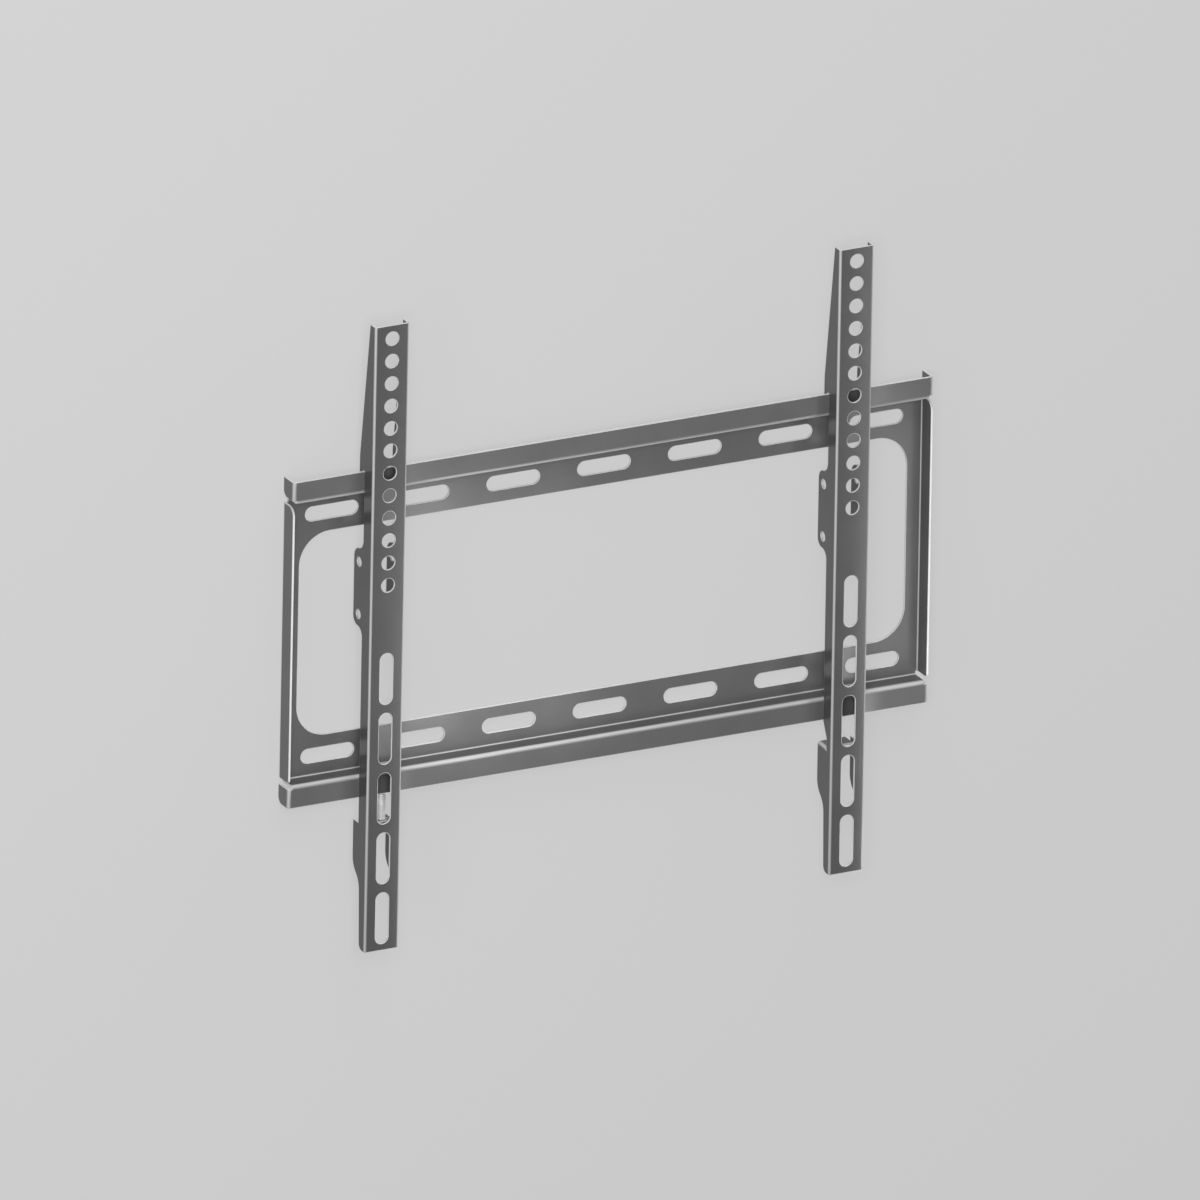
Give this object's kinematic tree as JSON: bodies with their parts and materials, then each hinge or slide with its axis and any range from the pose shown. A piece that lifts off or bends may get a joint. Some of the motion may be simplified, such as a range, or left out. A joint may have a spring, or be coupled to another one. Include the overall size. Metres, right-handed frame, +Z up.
{
  "type": "display wall mount",
  "caption": "Low-profile wall mount: a folded wall plate with a window and slots, and hooked slotted arms that slide along its rail and lock with screws.",
  "frame": {"origin": "centre of the wall plate's back, on the wall", "axes": "+X right along the rails, +Y into the wall, +Z up"},
  "size_m": [0.448, 0.0256, 0.418],
  "materials": {
    "coated_steel": "dark grey powder coat, fine texture, satin",
    "zinc_steel": "bright zinc plate"
  },
  "bodies": {
    "wall_plate": {"wall_plate": "coated_steel"},
    "left_arm": {"left_arm": "coated_steel"},
    "right_arm": {"right_arm": "coated_steel"},
    "left_locking_screw": {"left_locking_screw": "zinc_steel"},
    "right_locking_screw": {"right_locking_screw": "zinc_steel"}
  },
  "joints": [
    {"name": "left_arm_slide", "type": "slide", "parent": "wall_plate", "child": "left_arm", "axis": [1, 0, 0], "range_m": [-0.0375, 0.1125]},
    {"name": "right_arm_slide", "type": "slide", "parent": "wall_plate", "child": "right_arm", "axis": [-1, 0, 0], "range_m": [-0.0375, 0.1125]},
    {"name": "left_screw_travel", "type": "slide", "parent": "left_arm", "child": "left_locking_screw", "axis": [0, 0, 1], "range_m": [-0.015, 0]},
    {"name": "right_screw_travel", "type": "slide", "parent": "right_arm", "child": "right_locking_screw", "axis": [0, 0, 1], "range_m": [-0.015, 0]}
  ]
}
